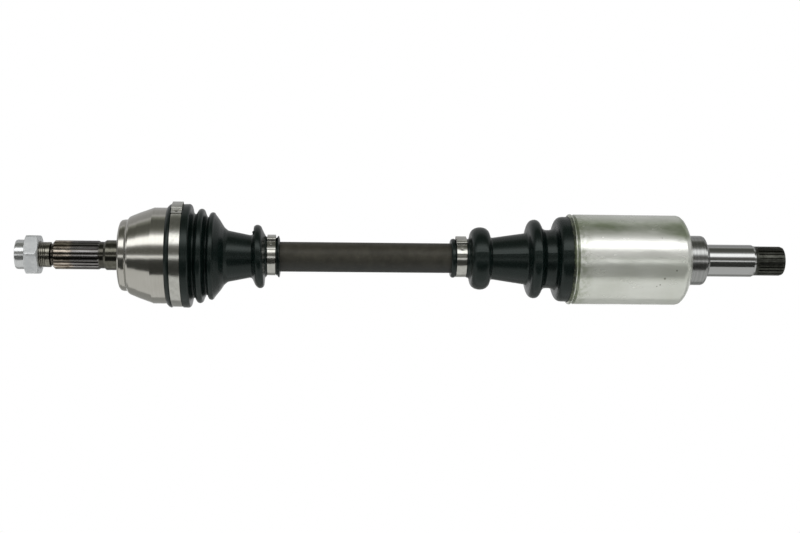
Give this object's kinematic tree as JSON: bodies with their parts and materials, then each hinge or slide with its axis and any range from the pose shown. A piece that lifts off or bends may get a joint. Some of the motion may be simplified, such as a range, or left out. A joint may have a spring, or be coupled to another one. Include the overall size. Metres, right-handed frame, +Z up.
{
  "type": "cv axle",
  "caption": "Front-wheel-drive half shaft with a ball joint at the hub end, a plunging tripod joint at the gearbox end, rubber boots and splined stubs.",
  "frame": {"origin": "on the axle's axis, inside the bare shaft bar, within 1 mm of half way between the hub nut's end and the gearbox stub's end", "axes": "+X along the axle from the hub nut to the gearbox stub, +Z up, the pictured side faces -Y"},
  "size_m": [0.6142, 0.0822, 0.0842],
  "materials": {
    "bar_black": "satin black-brown coated bar",
    "bearing_steel": "ground and greased bearing steel",
    "clamp_steel": "bright stainless strip",
    "bell_steel": "turned steel under a thin oil film",
    "nut_zinc": "dull zinc plating",
    "boot_rubber": "satin black moulded rubber",
    "joint_grease": "dark soft grease",
    "stub_steel": "turned and ground steel",
    "can_steel": "bright drawn sheet steel"
  },
  "bodies": {
    "shaft": {"shaft_bar": "bar_black", "inner_race": "bearing_steel", "race_circlip": "bearing_steel", "outer_small_clamp": "clamp_steel", "inner_small_clamp": "clamp_steel", "tripod_spider": "bearing_steel", "spider_circlip": "bearing_steel", "roller_clip_1": "bearing_steel", "roller_clip_2": "bearing_steel", "roller_clip_3": "bearing_steel"},
    "outer_boot": {"outer_boot": "boot_rubber"},
    "outer_bell": {"outer_joint_housing": "bell_steel", "outer_large_clamp": "clamp_steel"},
    "hub_nut": {"hub_nut": "nut_zinc"},
    "outer_grease": {"outer_grease": "joint_grease"},
    "cage": {"ball_cage": "bearing_steel", "ball_1": "bearing_steel", "ball_2": "bearing_steel", "ball_3": "bearing_steel", "ball_4": "bearing_steel", "ball_5": "bearing_steel", "ball_6": "bearing_steel"},
    "inner_boot": {"inner_boot": "boot_rubber"},
    "inner_grease": {"inner_grease": "joint_grease"},
    "inner_housing": {"inner_joint_housing": "stub_steel", "housing_can": "can_steel"},
    "roller_1": {"roller_1": "bearing_steel", "needles_1": "bearing_steel"},
    "roller_2": {"roller_2": "bearing_steel", "needles_2": "bearing_steel"},
    "roller_3": {"roller_3": "bearing_steel", "needles_3": "bearing_steel"}
  },
  "joints": [
    {"name": "outer_steer", "type": "hinge", "parent": "shaft", "child": "outer_boot", "pos_m": [-0.19, 0, 0], "axis": [0, 0, 1], "range_deg": [-38, 38], "deforming": ["outer_boot"]},
    {"name": "outer_bend", "type": "hinge", "parent": "outer_boot", "child": "outer_bell", "pos_m": [-0.19, 0, 0], "axis": [0, 1, 0], "range_deg": [-10, 10]},
    {"name": "cage_steer", "type": "hinge", "parent": "shaft", "child": "outer_grease", "pos_m": [-0.19, 0, 0], "axis": [0, 0, 1], "range_deg": [-19, 19], "deforming": ["outer_grease"]},
    {"name": "cage_bend", "type": "hinge", "parent": "outer_grease", "child": "cage", "pos_m": [-0.19, 0, 0], "axis": [0, 1, 0], "range_deg": [-5, 5]},
    {"name": "inner_steer", "type": "hinge", "parent": "shaft", "child": "inner_boot", "pos_m": [0.1735, 0, 0], "axis": [0, 0, 1], "range_deg": [-4, 4], "deforming": ["inner_boot"]},
    {"name": "inner_bend", "type": "hinge", "parent": "inner_boot", "child": "inner_grease", "pos_m": [0.1735, 0, 0], "axis": [0, 1, 0], "range_deg": [-8, 8]},
    {"name": "plunge", "type": "slide", "parent": "inner_grease", "child": "inner_housing", "axis": [1, 0, 0], "range_m": [-0.016, 0.016], "deforming": ["inner_grease"]},
    {"name": "nut_unscrew", "type": "slide", "parent": "outer_bell", "child": "hub_nut", "axis": [-1, 0, 0], "range_m": [0, 0.1]},
    {"name": "roller_1_spin", "type": "hinge", "parent": "shaft", "child": "roller_1", "pos_m": [0.1735, 0, 0.0185], "axis": [0, 0, 1], "range_deg": [-61, 61]},
    {"name": "roller_2_spin", "type": "hinge", "parent": "shaft", "child": "roller_2", "pos_m": [0.1735, -0.01602, -0.00925], "axis": [0, -0.866, -0.5], "range_deg": [-61, 61]},
    {"name": "roller_3_spin", "type": "hinge", "parent": "shaft", "child": "roller_3", "pos_m": [0.1735, 0.01602, -0.00925], "axis": [0, 0.866, -0.5], "range_deg": [-61, 61]}
  ],
  "couplings": [
    {"joint": "cage_steer", "follows": "outer_steer", "ratio": 0.5},
    {"joint": "cage_bend", "follows": "outer_bend", "ratio": 0.5},
    {"joint": "roller_1_spin", "follows": "plunge", "rad_per_m": 65.8},
    {"joint": "roller_2_spin", "follows": "plunge", "rad_per_m": 65.8},
    {"joint": "roller_3_spin", "follows": "plunge", "rad_per_m": 65.8}
  ]
}
